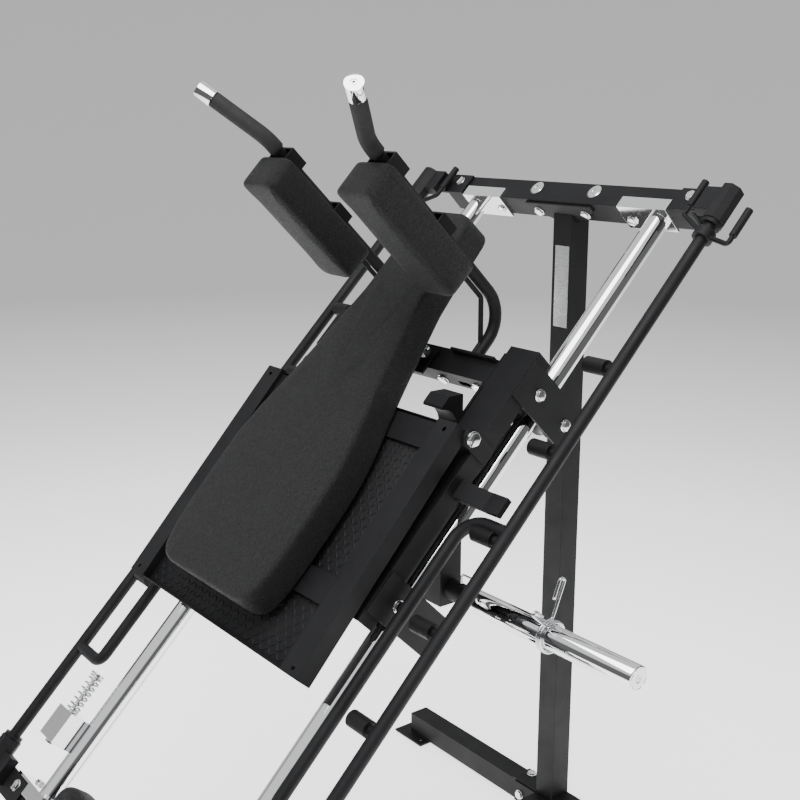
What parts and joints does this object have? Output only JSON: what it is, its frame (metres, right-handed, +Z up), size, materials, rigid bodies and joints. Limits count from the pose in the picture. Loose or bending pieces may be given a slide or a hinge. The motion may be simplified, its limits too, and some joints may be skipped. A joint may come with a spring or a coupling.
{
  "type": "leg press hack squat machine",
  "caption": "Sled on inclined chrome guide rails with back pad, shoulder pads, flip-up tread plate, weight horns, turning safety bars and a leg press seat.",
  "frame": {"origin": "on the floor under the centre of the overall box", "axes": "+Z up, +X to the user's right, -Y the low seat end, +Y the rear post"},
  "size_m": [1.548, 2.0966, 1.9517],
  "materials": {
    "powder_black": "fine textured black powder coat",
    "chrome": "bright chrome plate",
    "zinc": "light zinc plate",
    "bolt_zinc": "bright zinc fasteners",
    "rubber": "black rubber",
    "grip_foam": "dense foam hand grip",
    "vinyl": "grained black upholstery",
    "roller": "black nylon roller",
    "spring_steel": "plated spring wire",
    "cap_plastic": "moulded black cap",
    "label": "bare grey label plate"
  },
  "bodies": {
    "frame": {"rear_post": "powder_black", "rear_foot_tube": "powder_black", "base_spine": "powder_black", "front_foot_tube": "powder_black", "front_upright": "powder_black", "tube_caps": "cap_plastic", "rubber_feet": "rubber", "top_beam": "powder_black", "low_beam": "powder_black", "gusset_plates": "powder_black", "label_plate": "label", "rail_right": "chrome", "rail_left": "chrome", "angle_brackets": "zinc", "frame_bolts": "bolt_zinc", "bearing_links": "powder_black", "bar_bearings": "powder_black", "bumper_brackets": "zinc", "seat_frame": "powder_black", "seat_cushion": "vinyl", "backrest_frame": "powder_black", "backrest_cushion": "vinyl", "standing_plates": "powder_black"},
    "bumper_right": {"bumper_cap_right": "zinc", "bumper_spring_right": "spring_steel"},
    "bumper_left": {"bumper_cap_left": "zinc", "bumper_spring_left": "spring_steel"},
    "bar_right": {"safety_bar_right": "powder_black", "peg_sleeves_right": "rubber", "lever_right": "powder_black"},
    "bar_left": {"safety_bar_left": "powder_black", "peg_sleeves_left": "rubber", "lever_left": "powder_black"},
    "sled": {"sled_channel_right": "powder_black", "sled_channel_left": "powder_black", "roller_plates": "powder_black", "sled_crossbars": "powder_black", "catch_arms": "powder_black", "weight_hangers": "powder_black", "horn_sleeve_right": "chrome", "horn_sleeve_left": "chrome", "sled_bolts": "bolt_zinc", "horn_clips": "bolt_zinc", "shoulder_tubes": "powder_black", "hand_grips": "grip_foam", "grip_caps": "chrome", "shoulder_pad_right": "vinyl", "shoulder_pad_left": "vinyl", "pad_hinge_bracket": "powder_black", "tread_stops": "rubber"},
    "collar_right": {"spring_collar_right": "spring_steel"},
    "collar_left": {"spring_collar_left": "spring_steel"},
    "upper_over": {"rollers_upper_over": "roller"},
    "upper_under": {"rollers_upper_under": "roller"},
    "lower_over": {"rollers_lower_over": "roller"},
    "lower_under": {"rollers_lower_under": "roller"},
    "tread": {"tread_frame": "powder_black", "tread_plate": "powder_black"},
    "pad": {"pad_leaf": "powder_black", "back_pad": "vinyl"}
  },
  "joints": [
    {"name": "sled_slide", "type": "slide", "parent": "frame", "child": "sled", "axis": [0, 0.7071, 0.7071], "range_m": [-0.4, 0.215]},
    {"name": "tread_flip", "type": "hinge", "parent": "sled", "child": "tread", "pos_m": [0, 0.36206, 1.26501], "axis": [-1, 0, 0], "range_deg": [0, 62]},
    {"name": "pad_lift", "type": "hinge", "parent": "sled", "child": "pad", "pos_m": [0, 0.48439, 1.37603], "axis": [-1, 0, 0], "range_deg": [-0.5, 54]},
    {"name": "bar_right_turn", "type": "hinge", "parent": "frame", "child": "bar_right", "pos_m": [0.489, 0.30195, 1.07763], "axis": [0, 0.7071, 0.7071], "range_deg": [0, 100]},
    {"name": "bar_left_turn", "type": "hinge", "parent": "frame", "child": "bar_left", "pos_m": [-0.489, 0.30195, 1.07763], "axis": [0, -0.7071, -0.7071], "range_deg": [0, 100]},
    {"name": "bumper_right_press", "type": "slide", "parent": "frame", "child": "bumper_right", "axis": [0, -0.7071, -0.7071], "range_m": [0, 0.03], "stiffness_N_per_m": 6000, "springref_m": -0.004, "deforming": ["bumper_spring_right"]},
    {"name": "bumper_left_press", "type": "slide", "parent": "frame", "child": "bumper_left", "axis": [0, -0.7071, -0.7071], "range_m": [0, 0.03], "stiffness_N_per_m": 6000, "springref_m": -0.004, "deforming": ["bumper_spring_left"]},
    {"name": "collar_right_slide", "type": "slide", "parent": "sled", "child": "collar_right", "axis": [1, 0, 0], "range_m": [-0.18, 0.18]},
    {"name": "collar_left_slide", "type": "slide", "parent": "sled", "child": "collar_left", "axis": [-1, 0, 0], "range_m": [-0.18, 0.18]},
    {"name": "upper_over_spin", "type": "hinge", "parent": "sled", "child": "upper_over", "pos_m": [0, 0.5452, 1.32512], "axis": [-1, 0, 0], "range_deg": [-800, 440]},
    {"name": "upper_under_spin", "type": "hinge", "parent": "sled", "child": "upper_under", "pos_m": [0, 0.62156, 1.24875], "axis": [1, 0, 0], "range_deg": [-800, 440]},
    {"name": "lower_over_spin", "type": "hinge", "parent": "sled", "child": "lower_over", "pos_m": [0, 0.18104, 0.96096], "axis": [-1, 0, 0], "range_deg": [-800, 440]},
    {"name": "lower_under_spin", "type": "hinge", "parent": "sled", "child": "lower_under", "pos_m": [0, 0.2574, 0.88459], "axis": [1, 0, 0], "range_deg": [-800, 440]}
  ],
  "couplings": [
    {"joint": "pad_lift", "follows": "tread_flip", "ratio": 0.862},
    {"joint": "upper_over_spin", "follows": "sled_slide", "rad_per_m": 33.333},
    {"joint": "upper_under_spin", "follows": "sled_slide", "rad_per_m": 33.333},
    {"joint": "lower_over_spin", "follows": "sled_slide", "rad_per_m": 33.333},
    {"joint": "lower_under_spin", "follows": "sled_slide", "rad_per_m": 33.333}
  ]
}
